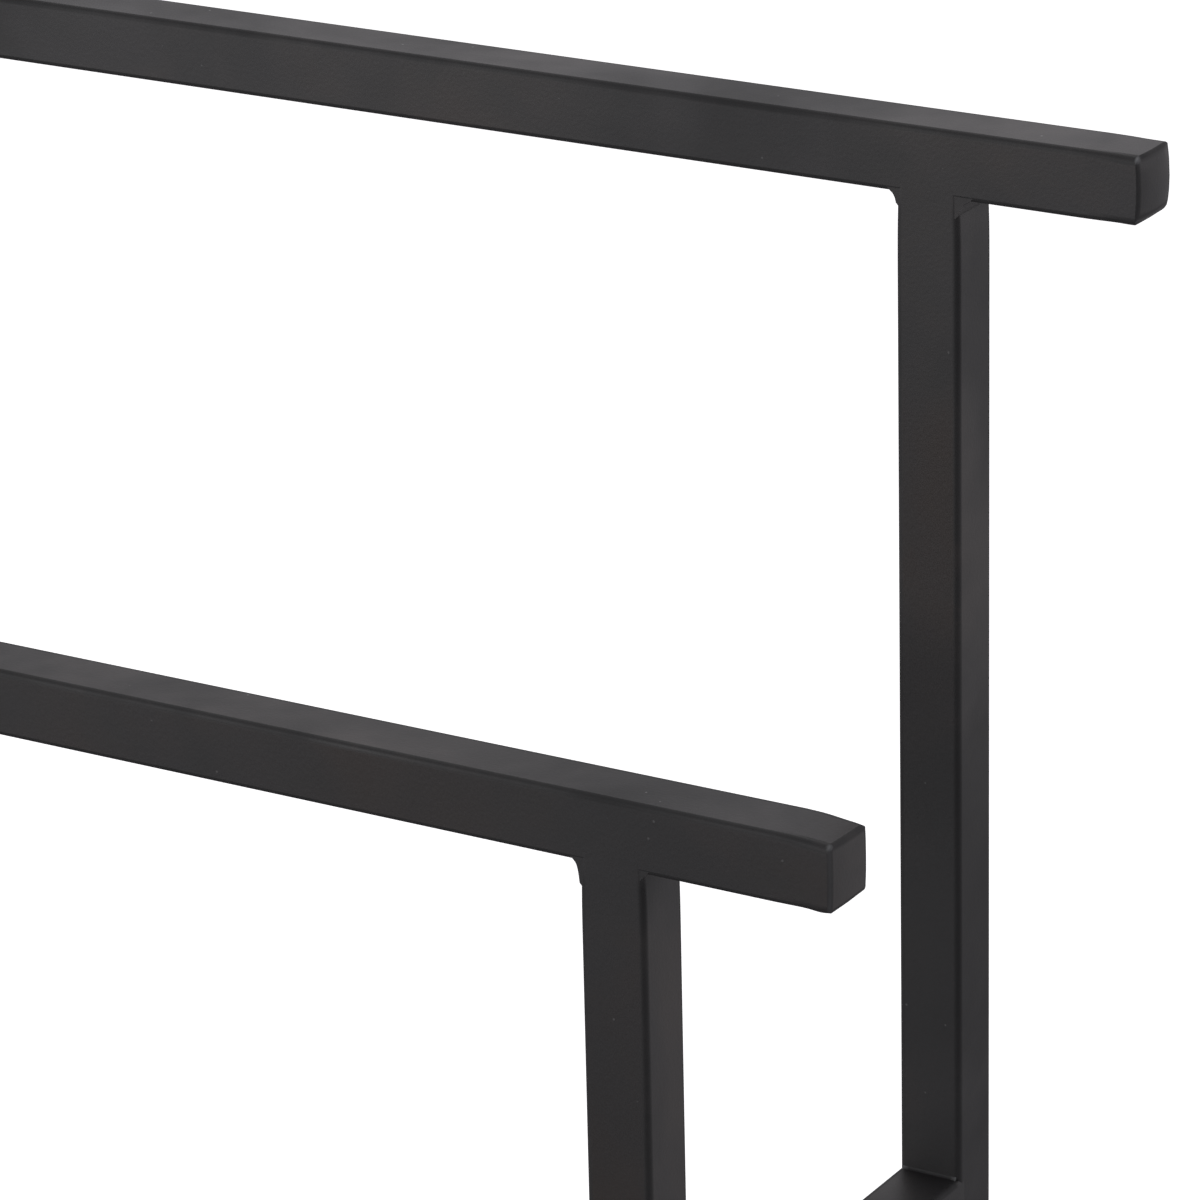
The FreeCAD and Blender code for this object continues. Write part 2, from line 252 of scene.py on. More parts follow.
def makePowderCoat():
    material, tree, shader = startMaterial("powderCoatBlack", {"IOR": 1.5})
    link = tree.links.new
    place = tree.nodes.new("ShaderNodeTexCoord").outputs["Object"]
    skin = placeGroup(tree, skinGrain, place, powderCoat["skin"])
    cloud = placeGroup(tree, skinGrain, place, powderCoat["cloud"])
    wear = placeGroup(tree, edgeWear, place, powderCoat["wear"])
    link(readAttribute(tree, "edge"), wear.inputs["Edge"])
    mottle = rangeNode(tree, skin.outputs["Mottle"], *powderCoat["mottleRange"], 0.0, 1.0)
    body = mixColours(tree, mottle, powderCoat["colour"], powderCoat["mottled"])
    cloudy = rangeNode(tree, cloud.outputs["Mottle"], *powderCoat["cloudRange"], 0.0, powderCoat["cloudMost"])
    smudged = mixColours(tree, cloudy, body, powderCoat["smudge"])
    # painted shade on the corners, lessened where rubbed patches break it
    patchy = rangeNode(tree, wear.outputs["Rubbed"], 0.0, 1.0, *powderCoat["patchy"])
    shadedCorners = mathNode(tree, "MULTIPLY", wear.outputs["Thin"], patchy)
    edged = mixColours(tree, shadedCorners, smudged, powderCoat["thin"])
    facing = tree.nodes.new("ShaderNodeSeparateXYZ")
    link(tree.nodes.new("ShaderNodeNewGeometry").outputs["Normal"], facing.inputs["Vector"])
    settled = rangeNode(tree, facing.outputs["Z"], *powderCoat["dustFacing"], powderCoat["dustOnSides"], 1.0)
    dust = mathNode(tree, "MULTIPLY", skin.outputs["Nibs"], settled)
    dusty = mixColours(tree, dust, edged, powderCoat["nib"])
    # painted highlight on ground corners of the rail ends and welds
    bare = rangeNode(tree, readAttribute(tree, "ground"), 0.0, 1.0, 0.0, powderCoat["bareMost"])
    link(mixColours(tree, bare, dusty, powderCoat["bare"]), shader.inputs["Base Color"])
    low, high = powderCoat["rough"]
    rough = rangeNode(tree, skin.outputs["Mottle"], *powderCoat["roughRange"], high, low)
    for mask, amount in ((cloudy, powderCoat["smudgeRough"]), (wear.outputs["Thin"], powderCoat["edgeRough"])):
        rough = mathNode(tree, "ADD", rough, mathNode(tree, "MULTIPLY", mask, amount))
    link(rough, shader.inputs["Roughness"])
    addBump(tree, shader, skin.outputs["Height"], powderCoat["bump"], powderCoat["depth"])
    return material


# fade: how far the painted highlight on each yarn's crown wanders, over fadeRange of the noise; dark, light: the
# webbing and its painted highlight on the crowns
webbing = {
    "dark": (0.010, 0.010, 0.011), "light": (0.042, 0.042, 0.045), "weave": {"Ends": 620.0, "Picks": 900.0},
    "fuzz": {"Peel Scale": 2500.0, "Mottle Scale": 30.0}, "fuzzHeight": 0.15, "fadeRange": (0.3, 0.7),
    "fade": (0.7, 1.1), "rough": (0.85, 0.55), "bump": 0.8, "depth": 0.0004,
}


def makeWebbing():
    material, tree, shader = startMaterial("webbingBlack", {"Sheen Weight": 0.25, "Sheen Roughness": 0.5})
    link = tree.links.new
    coord = tree.nodes.new("ShaderNodeTexCoord")
    weave = placeGroup(tree, webbingWeave, coord.outputs["UV"], webbing["weave"])
    fuzz = placeGroup(tree, skinGrain, coord.outputs["Object"], webbing["fuzz"])
    fade = rangeNode(tree, fuzz.outputs["Mottle"], *webbing["fadeRange"], *webbing["fade"])
    # painted highlight on the crowns of the yarns
    crownHighlight = mathNode(tree, "MULTIPLY", weave.outputs["Yarn"], fade)
    link(mixColours(tree, crownHighlight, webbing["dark"], webbing["light"]), shader.inputs["Base Color"])
    link(rangeNode(tree, weave.outputs["Yarn"], 0.0, 1.0, *webbing["rough"]), shader.inputs["Roughness"])
    hairs = mathNode(tree, "MULTIPLY", fuzz.outputs["Height"], webbing["fuzzHeight"])
    height = mathNode(tree, "ADD", weave.outputs["Height"], hairs)
    addBump(tree, shader, height, webbing["bump"], webbing["depth"])
    return material


thread = {
    "dark": (0.020, 0.020, 0.021), "light": (0.075, 0.075, 0.08), "ply": {"Scale": 2600.0, "Distortion": 0.5},
    "rough": (0.7, 0.45), "bump": 0.4, "depth": 0.0001,
}


def makeThread():
    material, tree, shader = startMaterial("threadBlack", {"Sheen Weight": 0.3})
    coord = tree.nodes.new("ShaderNodeTexCoord")
    ply = addNode(tree, "ShaderNodeTexWave", thread["ply"], {"bands_direction": "DIAGONAL"})
    tree.links.new(coord.outputs["Object"], ply.inputs["Vector"])
    tree.links.new(mixColours(tree, ply.outputs["Fac"], thread["dark"], thread["light"]), shader.inputs["Base Color"])
    tree.links.new(rangeNode(tree, ply.outputs["Fac"], 0.0, 1.0, *thread["rough"]), shader.inputs["Roughness"])
    addBump(tree, shader, ply.outputs["Fac"], thread["bump"], thread["depth"])
    return material


# rough: at the dull and at the shiny end of the mottling
plastic = {
    "colour": (0.022, 0.022, 0.023), "worn": (0.034, 0.034, 0.035), "rough": (0.61, 0.50),
    "skin": {"Peel Scale": 1500.0, "Mottle Scale": 60.0, "Nib Scale": 300.0},
}
nylon = {
    "colour": (0.10, 0.10, 0.105), "worn": (0.13, 0.13, 0.135), "rough": (0.54, 0.43),
    "skin": {"Peel Scale": 2000.0, "Mottle Scale": 60.0, "Nib Scale": 300.0},
}
moulded = {"mottleRange": (0.35, 0.7), "roughRange": (0.3, 0.7), "bump": 0.25, "depth": 0.0001}


def makeMoulded(name, kind):
    material, tree, shader = startMaterial(name, {"IOR": 1.49})
    place = tree.nodes.new("ShaderNodeTexCoord").outputs["Object"]
    skin = placeGroup(tree, skinGrain, place, kind["skin"])
    tint = rangeNode(tree, skin.outputs["Mottle"], *moulded["mottleRange"], 0.0, 1.0)
    rough = rangeNode(tree, skin.outputs["Mottle"], *moulded["roughRange"], *kind["rough"])
    tree.links.new(mixColours(tree, tint, kind["colour"], kind["worn"]), shader.inputs["Base Color"])
    tree.links.new(rough, shader.inputs["Roughness"])
    addBump(tree, shader, skin.outputs["Height"], moulded["bump"], moulded["depth"])
    return material


blackZinc = {
    "colour": (0.060, 0.060, 0.064), "rubbed": (0.26, 0.26, 0.27), "rough": (0.44, 0.30),
    "roughRange": (0.3, 0.7), "skin": {"Peel Scale": 1600.0, "Mottle Scale": 120.0, "Nib Scale": 400.0},
    "wear": {"Break Scale": 300.0, "Threshold": 0.48}, "bump": 0.15, "depth": 0.00008,
}


def makeBlackZinc():
    material, tree, shader = startMaterial("blackZincSteel", {"Metallic": 0.9})
    place = tree.nodes.new("ShaderNodeTexCoord").outputs["Object"]
    skin = placeGroup(tree, skinGrain, place, blackZinc["skin"])
    wear = placeGroup(tree, edgeWear, place, blackZinc["wear"])
    tree.links.new(readAttribute(tree, "edge"), wear.inputs["Edge"])
    colour = mixColours(tree, wear.outputs["Rubbed"], blackZinc["colour"], blackZinc["rubbed"])
    rough = rangeNode(tree, skin.outputs["Mottle"], *blackZinc["roughRange"], *blackZinc["rough"])
    tree.links.new(colour, shader.inputs["Base Color"])
    tree.links.new(rough, shader.inputs["Roughness"])
    addBump(tree, shader, skin.outputs["Height"], blackZinc["bump"], blackZinc["depth"])
    return material


finishes = {
    "black_powder_coat": makePowderCoat(),
    "webbing": makeWebbing(),
    "black_plastic": makeMoulded("mouldedPlasticBlack", plastic),
    "nylon": makeMoulded("nylonGrey", nylon),
    "black_steel": makeBlackZinc(),
}
threadFinish = makeThread()
slotOf = {part["node"]: part["material_slot"] for part in frame["record"]["subparts"]}


def camelName(node):
    first, *rest = node.split("_")
    return first + "".join(word.capitalize() for word in rest)


# the bend, in radians, at which the painted shade on a corner is full; sharp: bend that is shaded as an edge
corners = {"fullThin": 0.22, "sharp": math.radians(50)}


# turns a bmesh into a finished piece on its body, with an "edge" attribute that places the painted shade on corners
def finishPiece(name, bm, body, slotName, nodes=(), material=None, cornerShadeScale=None):
    edgeLayer = bm.verts.layers.float.get("edge")
    wantsEdge = edgeLayer is None
    edgeLayer = edgeLayer or bm.verts.layers.float.new("edge")
    bm.verts.layers.float.get("ground") or bm.verts.layers.float.new("ground")
    bmesh.ops.recalc_face_normals(bm, faces=bm.faces)
    for vert in bm.verts if wantsEdge else ():
        angles = [e.calc_face_angle(0.0) for e in vert.link_edges]
        vert[edgeLayer] = min(1.0, max(angles, default=0.0) / corners["fullThin"])
        vert[edgeLayer] *= cornerShadeScale(vert.co) if cornerShadeScale else 1.0
    mesh = bpy.data.meshes.new(name)
    for face in bm.faces:
        face.smooth = True
    for edge in bm.edges:
        edge.smooth = edge.calc_face_angle(0.0) < corners["sharp"]
    bm.to_mesh(mesh)
    bm.free()
    piece = bpy.data.objects.new(name, mesh)
    bpy.context.collection.objects.link(piece)
    mesh.materials.append(material or finishes[slotName])
    weighted = piece.modifiers.new("cornerNormals", "WEIGHTED_NORMAL")
    weighted.keep_sharp = True
    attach(piece, body)
    if nodes:
        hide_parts(*nodes)
    return piece


def boxInto(bm, low, high):
    made = bmesh.ops.create_cube(bm, size=1.0)["verts"]
    bmesh.ops.scale(bm, vec=high - low, verts=made)
    bmesh.ops.translate(bm, vec=(low + high) / 2, verts=made)
    return made


# faces or edges at these vertices, each once and always in the same order
def linked(verts, kind):
    return list(dict.fromkeys(item for vert in verts for item in getattr(vert, kind)))


def edgesAmong(verts):
    return [edge for edge in linked(verts, "link_edges") if all(v in verts for v in edge.verts)]


def bevelEdges(bm, edges, size, steps):
    bmesh.ops.bevel(bm, geom=edges, offset=size, offset_type="OFFSET", segments=steps, profile=0.5,
                    affect="EDGES", clamp_overlap=True, material=-1)


def sliceAt(bm, point, normal, geometry=None):
    geom = geometry or bm.verts[:] + bm.edges[:] + bm.faces[:]
    bmesh.ops.bisect_plane(bm, geom=geom, dist=1e-7, plane_co=point, plane_no=normal)


unit = (Vector((1, 0, 0)), Vector((0, 1, 0)), Vector((0, 0, 1)))

print("stage: square tubes")

# seat: how far a butted end runs into its mate; proud: how far it stands over its mate's face, dressed flush
tubes = {
    "corner": 1.5 * mm, "steps": 5, "seat": 3.0 * mm, "proud": 0.02 * mm, "edgeBand": 0.7 * mm,
    "fade": (2.0 * mm, 2.0 * mm, 5.0 * mm),
}
# bulge: crown of the closing plate, over crownDepth; round: radius that its corners are ground to
# lowRound, backRound: radius between the plate and the faces below and behind; droop: how far the top is drawn down
# swell: weld left full below; cuts: sections in from the end; pale, cornerPale, frontPale: painted highlight on the
# top front corner and down the front edge
railEnd = {
    "rim": 1.1 * mm, "rimSteps": 4, "round": 2.3 * mm, "roundRise": 1.6, "backRound": 1.3 * mm,
    "reach": 18.0 * mm, "waver": 0.05 * mm, "waverScale": 180,
    "bulge": {"upper_rail": 1.9 * mm, "middle_rail": 0.5 * mm, "front_rail": 1.1 * mm}, "crownDepth": 3 * mm,
    "lowRound": {"upper_rail": 3.2 * mm, "middle_rail": 1.2 * mm, "front_rail": 2.4 * mm},
    "lines": (-8.4 * mm, -7.3 * mm, -6.6 * mm, -6.0 * mm, -4.0 * mm, 0.0, 5.0 * mm, 7.0 * mm),
    "cuts": (1.4, 1.8, 2.3, 2.8, 3.4, 4.0, 5.6, 7.5, 10.0, 13.0, 18.0),
    "droop": {"upper_rail": 0.05 * mm, "middle_rail": 1.4 * mm, "front_rail": 0.6 * mm},
    "swell": {"upper_rail": 0.15 * mm, "middle_rail": 0.5 * mm, "front_rail": 0.3 * mm},
    "swellAt": 4.2 * mm, "swellWidth": 3.4 * mm, "pale": 2.4 * mm, "cornerPale": 1.2,
    "frontPale": {"upper_rail": 0.04, "middle_rail": 0.18, "front_rail": 0.04},
    "frontEdgeAt": 0.4 * mm, "frontEdgeWidth": 0.9 * mm,
}
# hollow that a grinder leaves beside a weld: from: share of the half width where it starts
grind = {"depth": 0.55 * mm, "length": 22.0 * mm, "slice": 2.2 * mm, "from": 0.6, "fade": 9 * mm}

# which way a tube runs, which of its ends are butted on a mate, and its place in the order of dressing
tubeKinds = {
    "rail": {"axis": 0, "butted": (0, 0), "order": 0},
    "post": {"axis": 2, "butted": (0, 1), "order": 1},
    "leg": {"axis": 2, "butted": (0, 1), "order": 1},
    "side_bar": {"axis": 1, "butted": (1, 1), "order": 2},
    "stretcher": {"axis": 0, "butted": (1, 1), "order": 3},
    "front_tube": {"axis": 0, "butted": (0, 0), "order": 0},
    "rear_tube": {"axis": 0, "butted": (0, 0), "order": 0},
    "side_tube": {"axis": 1, "butted": (1, 1), "order": 1},
    "stay": {"axis": 1, "butted": (0, 0), "order": 0},
}


def tubeInto(bm, node, kind):
    low, high = (Vector(corner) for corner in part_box(node))
    axis = kind["axis"]
    for other in range(3):
        if other != axis:
            low[other] -= tubes["proud"] * kind["order"]
            high[other] += tubes["proud"] * kind["order"]
    low[axis] -= tubes["seat"] * kind["butted"][0]
    high[axis] += tubes["seat"] * kind["butted"][1]
    verts = boxInto(bm, low, high)
    longEdges = [e for e in edgesAmong(verts) if abs((e.verts[0].co - e.verts[1].co)[axis]) > 1e-4]
    bevelEdges(bm, longEdges, tubes["corner"], tubes["steps"])
    return low, high


# cuts lines along a tube, so the painted corner shade stays near the corners and an end plate can be crowned
def lineFaces(bm, axis, low, high, offsets=()):
    band = (high - low)[(axis + 1) % 3] / 2 - tubes["corner"] - tubes["edgeBand"]
    middle = (low + high) / 2
    for across in range(3):
        if across == axis:
            continue
        for offset in (-band, band, *offsets):
            sliceAt(bm, middle + unit[across] * offset, unit[across])


# pulls a section's corners in to a larger radius, by an amount that fades with distance from the end
def easeCorner(vert, centre, half, radius, amount):
    off = Vector((vert.co.y - centre.y, vert.co.z - centre.z))
    over = Vector((abs(off.x) - half + radius, abs(off.y) - half + radius))
    if over.x <= 0 or over.y <= 0 or over.length <= radius:
        return
    eased = over * (radius / over.length)
    vert.co.y -= math.copysign(over.x - eased.x, off.x) * amount
    vert.co.z -= math.copysign(over.y - eased.y, off.y) * amount


# rounds the edge between the end plate and a long face, by distances in from each
def easeEdge(vert, inX, inward, radius, direction, side):
    if inX >= radius or inward >= radius:
        return
    over = Vector((radius - inX, radius - inward))
    if over.length > radius:
        eased = over * (radius / over.length)
        vert.co.x -= side * (over.x - eased.x)
        vert.co += direction * (over.y - eased.y)


# plate welded on and ground back: crowned face, eased corners, top drawn down, weld left full below
def shapeRailEnd(bm, node, low, high, side):
    ground = bm.verts.layers.float.get("ground") or bm.verts.layers.float.new("ground")
    end = high.x if side > 0 else low.x
    centre, half = (low + high) / 2, (high.z - low.z) / 2
    rim = [e for e in bm.edges if all(abs(v.co.x - end) < 1e-6 for v in e.verts)
           and any(abs(f.normal.x) < 0.5 for f in e.link_faces)]
    bevelEdges(bm, rim, railEnd["rim"], railEnd["rimSteps"])
    for distance in railEnd["cuts"]:
        sliceAt(bm, Vector((end - side * distance * mm, 0, 0)), unit[0])
    for vert in bm.verts:
        distance = abs(end - vert.co.x)
        if distance > railEnd["reach"] + 1e-6:
            continue
        near = 1 - distance / railEnd["reach"]
        easeCorner(vert, centre, half, railEnd["round"], min(1.0, near * railEnd["roundRise"]) ** 2)
        easeEdge(vert, distance, vert.co.z - low.z, railEnd["lowRound"][node], unit[2], side)
        easeEdge(vert, distance, high.y - vert.co.y, railEnd["backRound"], -unit[1], side)
        up = (vert.co.z - centre.z) / half
        back = (vert.co.y - low.y) / (2 * half)
        across = (vert.co.y - centre.y) / half
        if distance < railEnd["crownDepth"]:
            crown = 0.5 * (up * up + across * across)
            vert.co.x -= side * railEnd["bulge"][node] * crown * (1 - distance / railEnd["crownDepth"])
        vert.co.z -= railEnd["droop"][node] * near ** 2 * max(0.0, up) * (0.5 + 0.5 * back)
        swell = math.exp(-((distance - railEnd["swellAt"]) / railEnd["swellWidth"]) ** 2)
        vert.co.z -= railEnd["swell"][node] * swell * max(0.0, -up)
        vert.co += railEnd["waver"] * noise.noise_vector(vert.co * railEnd["waverScale"]) * near
        # painted highlight: a pale spot on the top front corner of the end and a pale line down its front edge
        offEdge = math.hypot(distance - railEnd["frontEdgeAt"], vert.co.y - low.y - railEnd["frontEdgeAt"])
        frontEdge = max(0.0, 1 - offEdge / railEnd["frontEdgeWidth"])
        topCorner = 1 - math.hypot(distance, vert.co.y - low.y, high.z - vert.co.z) / railEnd["pale"]
        vert[ground] = max(topCorner * railEnd["cornerPale"], frontEdge * railEnd["frontPale"][node], 0.0)


# the shallow hollow that a grinder leaves on the sides of a post just below its weld
def shapePostTop(bm, node, low, high):
    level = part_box(node)[1][2]
    centre, half = (low + high) / 2, (high.x - low.x) / 2
    for step in range(2, int(grind["length"] / grind["slice"]) + 2):
        sliceAt(bm, Vector((0, 0, level - step * grind["slice"])), unit[2])
    amount = {side: grind["depth"] * random.uniform(0.5, 1.0) for side in (-1, 1)}
    for vert in bm.verts:
        below = level - vert.co.z
        if below > grind["length"]:
            continue
        side = 1 if vert.co.x > centre.x else -1
        out = max(0.0, abs(vert.co.x - centre.x) / half - grind["from"]) / (1 - grind["from"])
        vert.co.x -= side * amount[side] * out * math.exp(-(max(0.0, below) / grind["fade"]) ** 2)


# no painted corner shade where a butted end is dressed into its mate
def fadeAtJoints(node, kind):
    low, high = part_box(node)
    axis = kind["axis"]

    def cornerShadeScale(place):
        near = [place[axis] - low[axis]] * kind["butted"][0] + [high[axis] - place[axis]] * kind["butted"][1]
        return min([1.0] + [max(0.0, distance / tubes["fade"][axis]) for distance in near])
    return cornerShadeScale


for node in sorted(frame["nodes"]):
    ending = next((e for e in tubeKinds if node.endswith(e)), None)
    if ending is None:
        continue
    kind = tubeKinds[ending]
    bm = bmesh.new()
    low, high = tubeInto(bm, node, kind)
    stands = [node]
    if ending == "rail":
        plateLow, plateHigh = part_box(node + "_end_plates")
        reach = plateHigh[0] - high.x
        for vert in bm.verts:
            vert.co.x += reach if vert.co.x > 0 else -reach
        low.x, high.x = plateLow[0], plateHigh[0]
        lineFaces(bm, 0, low, high, railEnd["lines"])
        for side in (-1, 1):
            shapeRailEnd(bm, node, low, high, side)
        stands.append(node + "_end_plates")
    else:
        lineFaces(bm, kind["axis"], low, high)
    if ending in ("post", "leg"):
        shapePostTop(bm, node, low, high)
    for end in (0, 1):
        for back in (0.0, tubes["fade"][kind["axis"]]) if kind["butted"][end] else ():
            place = Vector(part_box(node)[end]) + unit[kind["axis"]] * back * (1 - 2 * end)
            sliceAt(bm, place, unit[kind["axis"]])
    finishPiece(camelName(node), bm, bodyOf[node], slotOf[node], stands,
                                   cornerShadeScale=fadeAtJoints(node, kind))

print("stage: welds")

# onMate, onTube: least and most reach on the face that carries a fillet and on the butted tube
# flat: share of that reach on the joints ground flattest; sink, buried: how far its feet go into the metal
# painted shade over each weld, slight on the welds down the posts and full on the rest; painted highlight at both
# ends of the welds that run along x
welds = {
    "onMate": (1.3 * mm, 2.6 * mm), "onTube": (2.0 * mm, 4.5 * mm), "hollow": 0.16, "curve": 6,
    "ripple": 0.10, "rippleScale": 420, "rippleRun": 900, "pitch": 2.0 * mm, "inset": 0.05 * mm, "sideInset": 0.7,
    "sink": 0.08 * mm, "buried": 1.7 * mm, "ear": (1.5 * mm, 1.8 * mm), "earInset": 1.5 * mm, "flat": 0.42,
    "coat": 0.12, "pale": 0.3, "paleRun": 1.2 * mm,
}
# joints whose dressing is known: reach on the mate and on the tube
knownWelds = {
    ("right_back_post", -1): (1.7 * mm, 3.2 * mm), ("right_back_post", 1): (3.4 * mm, 4.4 * mm),
    ("right_middle_post", -1): (1.6 * mm, 6.2 * mm), ("right_middle_post", 1): (0.7 * mm, 0.8 * mm),
}


# one dressed weld along the inner corner from start to end, hollow between its two feet
def filletInto(bm, start, end, alongMate, alongTube, reach):
    onMate, onTube = reach
    ground = bm.verts.layers.float.get("ground") or bm.verts.layers.float.new("ground")
    coat = bm.verts.layers.float.get("edge") or bm.verts.layers.float.new("edge")
    length = (end - start).length
    along = (end - start).normalized()
    sink, buried = welds["sink"], welds["buried"]
    outline = [(-buried, -buried), (onMate + buried, -buried), (onMate, -sink)]
    for step in range(1, welds["curve"]):
        t = step / welds["curve"]
        bend = 2 * t * (1 - t) * welds["hollow"]
        outline.append((onMate * ((1 - t) ** 2 + bend), onTube * (t ** 2 + bend)))
    outline += [(-sink, onTube), (-buried, onTube + buried)]
    section = [bm.verts.new(start + alongMate * a + alongTube * b) for a, b in outline]
    face = bm.faces.new(section)
    grown = bmesh.ops.extrude_face_region(bm, geom=[face])["geom"]
    far = [g for g in grown if isinstance(g, bmesh.types.BMVert)]
    bmesh.ops.translate(bm, vec=along * length, verts=far)
    verts = section + far
    for cut in range(1, max(3, round(length / welds["pitch"]))):
        point = start + along * min(length - 1e-5, cut * welds["pitch"])
        geom = verts + linked(verts, "link_edges") + linked(verts, "link_faces")
        sliced = bmesh.ops.bisect_plane(bm, geom=geom, dist=1e-7, plane_co=point, plane_no=along)
        verts += [g for g in sliced["geom_cut"] if isinstance(g, bmesh.types.BMVert)]
    for vert in verts:
        off = vert.co - start
        run, a, b = off.dot(along), off.dot(alongMate), off.dot(alongTube)
        if a > 0 and b > 0:
            ripplePlace = vert.co * welds["rippleScale"] + Vector((run * welds["rippleRun"], 0, 0))
            wobble = 1 + welds["ripple"] * noise.noise(ripplePlace)
            vert.co = start + along * run + (alongMate * a + alongTube * b) * wobble
        atEnd = min(run, length - run)
        # painted shade on the weld, and a painted highlight near its ends where it runs along x
        vert[coat] = welds["coat"] if alongTube.z != 0 else 1.0
        vert[ground] = welds["pale"] * max(0.0, 1 - atEnd / welds["paleRun"]) if along.x != 0 else 0.0


# welds round a butted end, on the faces that aren't ground flush
def weldsAtEnd(bm, node, axis, side, faces):
    low, high = (Vector(corner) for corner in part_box(node))
    level = high[axis] if side > 0 else low[axis]
    for faceAxis, faceSide in faces:
        run = 3 - axis - faceAxis
        start = Vector((0, 0, 0))
        start[axis] = level
        start[faceAxis] = high[faceAxis] if faceSide > 0 else low[faceAxis]
        end = start.copy()
        inset = welds["inset"] if axis == 2 else tubes["corner"] * welds["sideInset"]
        start[run] = low[run] + inset
        end[run] = high[run] - inset
        reach = (random.uniform(*welds["onMate"]), random.uniform(*welds["onTube"]))
        if axis != 2:
            reach = (reach[0] * welds["flat"], reach[0] * welds["flat"])
        reach = knownWelds.get((node, faceSide), reach) if axis == 2 else reach
        filletInto(bm, start, end, unit[faceAxis] * faceSide, unit[axis] * -side, reach)


# welds down both sides of a pivot ear, where it stands on its post
def weldsOnEar(bm, node):
    low, high = (Vector(corner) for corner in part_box(node))
    solids = [(low, high)]
    if node.endswith("ears"):
        plateLow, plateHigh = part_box("right_rear_deck_ear")
        width = plateHigh[0] - plateLow[0]
        solids = [(low, Vector((low.x + width, high.y, high.z))), (Vector((high.x - width, low.y, low.z)), high)]
    onFrontFace = not node.endswith("ears")
    for earLow, earHigh in solids:
        level = earHigh.y if onFrontFace else earLow.y
        away = -1 if onFrontFace else 1
        for x, outward in ((earLow.x, -1), (earHigh.x, 1)):
            start = Vector((x, level, earLow.z + welds["earInset"]))
            end = Vector((x, level, earHigh.z - welds["earInset"]))
            filletInto(bm, start, end, unit[0] * outward, unit[1] * away, welds["ear"])


upDown = ((2, 1), (2, -1))
leftRight = ((0, 1), (0, -1))
weldPlan = {
    "stand": [("left_back_post", 2, 1, leftRight), ("right_back_post", 2, 1, leftRight),
              ("left_middle_post", 2, 1, leftRight), ("right_middle_post", 2, 1, leftRight)]
    + [(side + "_" + level + "_side_bar", 1, end, upDown)
       for side in ("left", "right") for level in ("upper", "lower") for end in (-1, 1)]
    + [(row + "_stretcher", 0, end, upDown) for row in ("back", "middle") for end in (-1, 1)],
    "deck": [("left_deck_side_tube", 1, end, ((0, 1),)) for end in (-1, 1)]
    + [("right_deck_side_tube", 1, end, ((0, -1),)) for end in (-1, 1)],
    "front_frame": [("left_front_leg", 2, 1, leftRight), ("right_front_leg", 2, 1, leftRight),
                    ("front_stretcher", 0, -1, upDown), ("front_stretcher", 0, 1, upDown)],
}
earNodes = {
    "stand": ["left_rear_deck_ear", "right_rear_deck_ear", "left_rear_stay_ear", "right_rear_stay_ear"],
    "front_frame": ["front_deck_ears", "front_stay_ears"],
}
for body, plan in weldPlan.items():
    bm = bmesh.new()
    for node, axis, side, faces in plan:
        weldsAtEnd(bm, node, axis, side, faces)
    for node in earNodes.get(body, ()):
        weldsOnEar(bm, node)
    finishPiece(camelName(body) + "Welds", bm, body, "black_powder_coat")

print("stage: straps")

# wrap: how far from a tube's corner the webbing starts to turn; gap: air between webbing layers and tube
# sagDepth: webbing down to this far below the tubes' tops sags
# seam: inset of the box seam from the tube, from the tail's end and from the selvedge
straps = {
    "thick": 1.6 * mm, "wrap": 2.2 * mm, "wrapSteps": 5, "gap": 0.1 * mm, "tail": 45.0 * mm,
    "sag": 2.2 * mm, "sagDepth": 2.5 * mm, "ripple": 0.25 * mm, "rippleScale": (9, 14),
    "columns": 12, "spanCuts": 47, "tailCuts": 8,
    "selvedge": 0.35 * mm, "selvedgeSteps": 2, "selvedgeAngle": math.radians(60),
    "stitch": 3.0 * mm, "stitchPitch": 4.2 * mm, "threadRadius": 0.33 * mm, "seam": (7 * mm, 4 * mm, 5.0 * mm),
}
frontLow, frontHigh = (Vector(c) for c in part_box("deck_front_tube"))
rearLow, rearHigh = (Vector(c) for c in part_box("deck_rear_tube"))


# how far the strap has sunk at y, in the clear span between the tubes
def sagAt(y, x):
    along = (y - frontHigh.y) / (rearLow.y - frontHigh.y)
    if not 0 < along < 1:
        return 0.0
    scaleX, scaleY = straps["rippleScale"]
    wave = straps["ripple"] * noise.noise(Vector((x * scaleX, y * scaleY, 3.0)))
    return (straps["sag"] + wave) * 4 * along * (1 - along)


# centre line of the webbing in the YZ plane, tail to tail
def strapRoute():
    gap = straps["thick"] / 2 + straps["gap"]
    over, under = frontHigh.z + gap, frontLow.z - gap
    below = over - 2 * gap
    front = [(frontHigh.y + straps["tail"], below), (frontHigh.y + gap, below), (frontHigh.y + gap, under),
             (frontLow.y - gap, under), (frontLow.y - gap, over)]
    rear = [(rearHigh.y + gap, over), (rearHigh.y + gap, under), (rearLow.y - gap, under),
            (rearLow.y - gap, below), (rearLow.y - straps["tail"], below)]
    return front + rear


